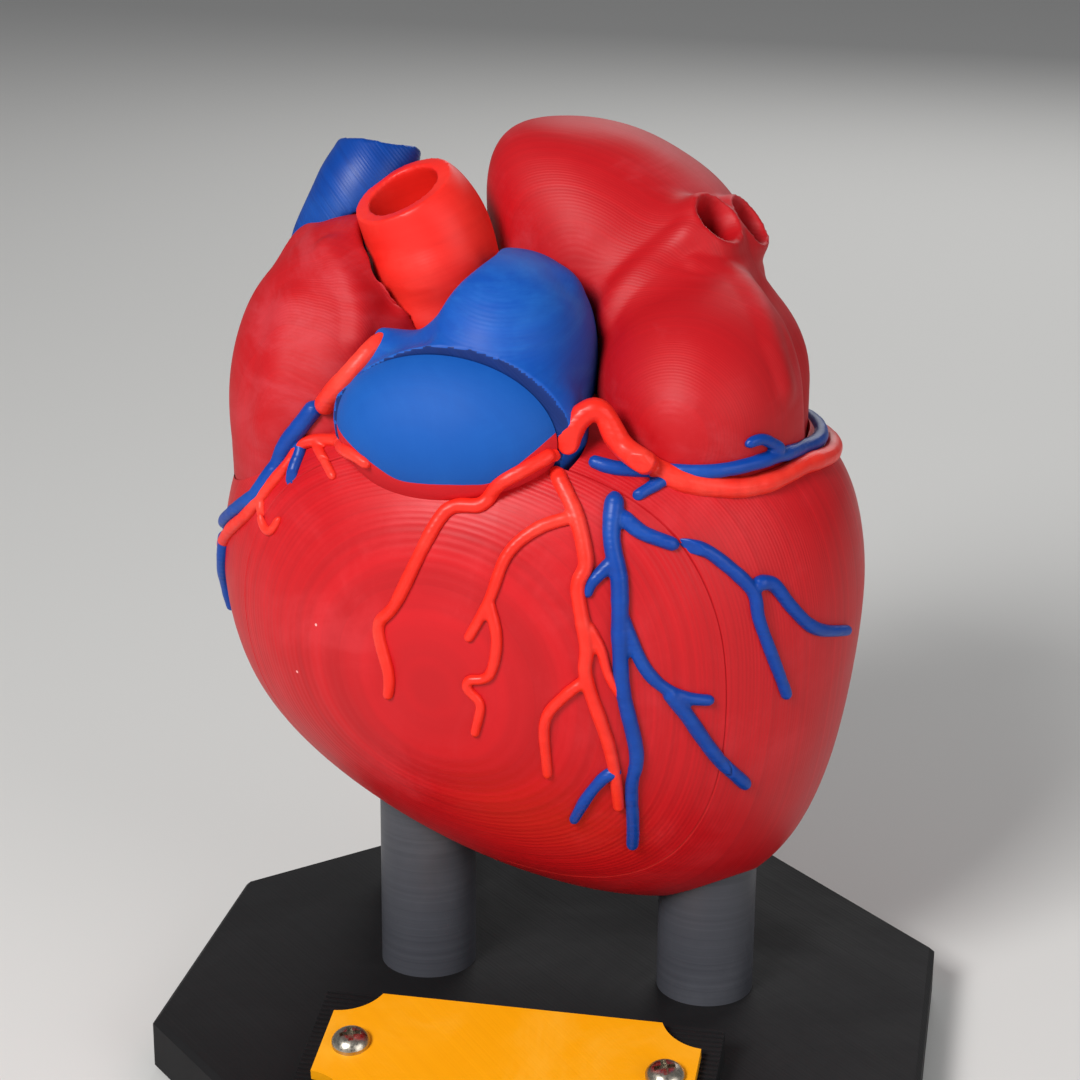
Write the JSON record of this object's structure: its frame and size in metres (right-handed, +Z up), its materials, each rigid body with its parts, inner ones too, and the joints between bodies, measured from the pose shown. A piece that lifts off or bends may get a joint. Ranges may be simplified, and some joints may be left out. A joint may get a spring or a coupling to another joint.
{
  "type": "human heart anatomy model",
  "caption": "Life-size human heart teaching model on a three-post stand, with a front wall that lifts off to show both ventricles.",
  "frame": {"origin": "centre of the underside of the octagonal base", "axes": "+Z up, the name plate and the heart's front wall face -Y, +X to the viewer's right"},
  "size_m": [0.112, 0.112, 0.1355],
  "materials": {
    "charcoal_print": "satin",
    "grey_print": "satin",
    "yellow_print": "satin",
    "nickel_screw": "satin",
    "red_print": "satin",
    "blue_print": "satin",
    "light_red_print": "satin",
    "artery_print": "satin",
    "vein_print": "satin",
    "ivory_print": "satin",
    "steel_pin": "brushed",
    "magnet_plating": "polished"
  },
  "bodies": {
    "stand": {"base_plate": "charcoal_print", "name_plate": "yellow_print", "plate_screws": "nickel_screw", "front_left_post": "grey_print", "front_right_post": "grey_print", "rear_post": "grey_print"},
    "heart": {"rear_heart_wall": "red_print", "right_atrium": "red_print", "left_atrium": "red_print", "superior_vena_cava": "blue_print", "inferior_vena_cava": "blue_print", "aorta": "light_red_print", "pulmonary_trunk": "blue_print", "mitral_valve": "ivory_print", "tricuspid_valve": "ivory_print", "locating_pins": "steel_pin", "rear_magnets": "magnet_plating", "right_marginal_artery": "artery_print", "lateral_vein": "vein_print", "circumflex_artery": "artery_print", "coronary_sinus_vein": "vein_print", "small_cardiac_vein": "vein_print", "right_coronary_artery": "artery_print"},
    "front_wall": {"front_heart_wall": "red_print", "conus_dome": "blue_print", "front_magnets": "magnet_plating", "anterior_descending_artery": "artery_print", "great_cardiac_vein": "vein_print", "front_marginal_artery": "artery_print"}
  },
  "joints": [
    {"name": "heart_lift", "type": "slide", "parent": "stand", "child": "heart", "axis": [0, 0, 1], "range_m": [0, 0.06]},
    {"name": "front_wall_pull", "type": "slide", "parent": "heart", "child": "front_wall", "axis": [-0.1037, -0.9871, -0.1219], "range_m": [0, 0.05]}
  ]
}
